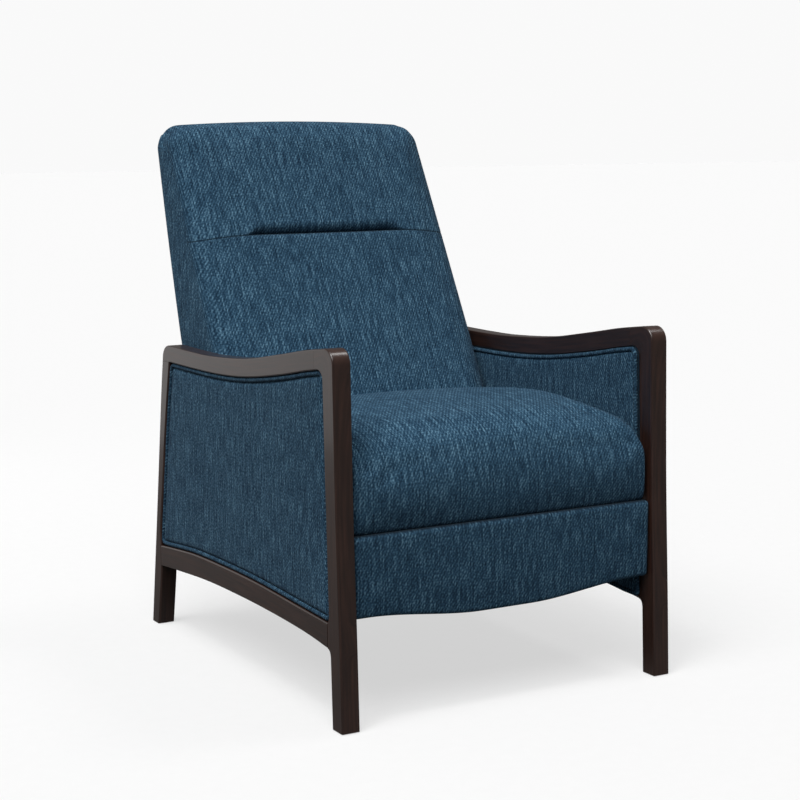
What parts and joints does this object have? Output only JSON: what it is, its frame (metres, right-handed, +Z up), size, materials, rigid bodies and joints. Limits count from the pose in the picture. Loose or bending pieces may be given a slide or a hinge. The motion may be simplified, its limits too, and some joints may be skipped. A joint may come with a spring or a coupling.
{
  "type": "recliner armchair",
  "caption": "Push-back recliner armchair with dark wood side frames, blue upholstered panels with welt, cushioned seat and back, and a linked footrest.",
  "frame": {"origin": "on the floor, at the centre of the chair's bounding box seen from above", "axes": "+Z up, the chair faces -Y, +X to the right seen from the front"},
  "size_m": [0.68, 0.8776, 1.0029],
  "materials": {
    "show_wood": "espresso stain, semi-gloss",
    "upholstery": "heathered blue woven twill",
    "hidden_wood": "unfinished",
    "mechanism_steel": "black satin",
    "spring_steel": "plain drawn wire",
    "glides": "moulded nylon"
  },
  "bodies": {
    "base": {"front_leg_left": "show_wood", "front_leg_right": "show_wood", "arm_rail_left": "show_wood", "arm_rail_right": "show_wood", "bottom_rail_left": "show_wood", "bottom_rail_right": "show_wood", "rear_leg_left": "show_wood", "rear_leg_right": "show_wood", "outer_pad_left": "upholstery", "outer_pad_right": "upholstery", "inner_pad_left": "upholstery", "inner_pad_right": "upholstery", "outer_welt_left": "upholstery", "outer_welt_right": "upholstery", "inner_welt_left": "upholstery", "inner_welt_right": "upholstery", "panel_board_left": "hidden_wood", "panel_board_right": "hidden_wood", "glide_front_left": "glides", "glide_front_right": "glides", "glide_rear_left": "glides", "glide_rear_right": "glides", "base_rail_left": "mechanism_steel", "base_rail_right": "mechanism_steel", "front_stretcher": "hidden_wood", "rear_stretcher": "hidden_wood"},
    "front_carrier": {"front_carrier_left": "mechanism_steel", "front_carrier_right": "mechanism_steel", "torque_tube": "mechanism_steel"},
    "rear_carrier": {"rear_carrier_left": "mechanism_steel", "rear_carrier_right": "mechanism_steel"},
    "seat": {"seat_cushion": "upholstery", "seat_front_rail": "hidden_wood", "seat_rear_rail": "hidden_wood", "seat_side_rail_left": "hidden_wood", "seat_side_rail_right": "hidden_wood", "side_plate_left": "mechanism_steel", "side_plate_right": "mechanism_steel", "seat_spring_1": "spring_steel", "seat_spring_2": "spring_steel", "seat_spring_3": "spring_steel", "seat_spring_4": "spring_steel"},
    "back": {"back_pad": "upholstery", "back_board": "hidden_wood", "back_cover": "upholstery", "back_bracket_left": "mechanism_steel", "back_bracket_right": "mechanism_steel"},
    "link_a": {"footrest_link_a_left": "mechanism_steel", "footrest_link_a_right": "mechanism_steel"},
    "link_b": {"footrest_link_b_left": "mechanism_steel", "footrest_link_b_right": "mechanism_steel"},
    "link_c": {"footrest_link_c_left": "mechanism_steel", "footrest_link_c_right": "mechanism_steel"},
    "link_d": {"footrest_link_d_left": "mechanism_steel", "footrest_link_d_right": "mechanism_steel"},
    "footrest": {"footrest_pad": "upholstery", "footrest_board": "hidden_wood", "footrest_bracket_left": "mechanism_steel", "footrest_bracket_right": "mechanism_steel"}
  },
  "joints": [
    {"name": "seat_push_out", "type": "hinge", "parent": "base", "child": "front_carrier", "pos_m": [0, -0.0946, 0.215], "axis": [1, 0, 0], "range_deg": [0, 40]},
    {"name": "seat_on_front_carrier", "type": "hinge", "parent": "front_carrier", "child": "seat", "pos_m": [0, -0.03151, 0.30511], "axis": [1, 0, 0], "range_deg": [-40, 0]},
    {"name": "rear_carrier_swing", "type": "hinge", "parent": "base", "child": "rear_carrier", "pos_m": [0, 0.1454, 0.215], "axis": [1, 0, 0], "range_deg": [0, 40]},
    {"name": "back_recline", "type": "hinge", "parent": "seat", "child": "back", "pos_m": [0, 0.1604, 0.36], "axis": [-1, 0, 0], "range_deg": [0, 30]},
    {"name": "footrest_link_a_swing", "type": "hinge", "parent": "seat", "child": "link_a", "pos_m": [0, -0.2616, 0.335], "axis": [1, 0, 0], "range_deg": [-90, 0]},
    {"name": "footrest_link_c_swing", "type": "hinge", "parent": "seat", "child": "link_c", "pos_m": [0, -0.20082, 0.30027], "axis": [1, 0, 0], "range_deg": [-90, 0]},
    {"name": "footrest_link_b_swing", "type": "hinge", "parent": "link_a", "child": "link_b", "pos_m": [0, -0.20346, 0.17525], "axis": [1, 0, 0], "range_deg": [0, 90]},
    {"name": "footrest_link_d_swing", "type": "hinge", "parent": "link_a", "child": "link_d", "pos_m": [0, -0.21885, 0.21754], "axis": [1, 0, 0], "range_deg": [0, 90]},
    {"name": "footrest_tilt", "type": "hinge", "parent": "link_b", "child": "footrest", "pos_m": [0, -0.34346, 0.25525], "axis": [1, 0, 0], "range_deg": [-90, 0]}
  ],
  "couplings": [
    {"joint": "seat_on_front_carrier", "follows": "seat_push_out", "ratio": -1},
    {"joint": "rear_carrier_swing", "follows": "seat_push_out", "ratio": 1},
    {"joint": "footrest_link_a_swing", "follows": "seat_push_out", "ratio": -2.25},
    {"joint": "footrest_link_c_swing", "follows": "seat_push_out", "ratio": -2.25},
    {"joint": "footrest_link_b_swing", "follows": "seat_push_out", "ratio": 2.25},
    {"joint": "footrest_link_d_swing", "follows": "seat_push_out", "ratio": 2.25},
    {"joint": "footrest_tilt", "follows": "seat_push_out", "ratio": -2.25}
  ]
}
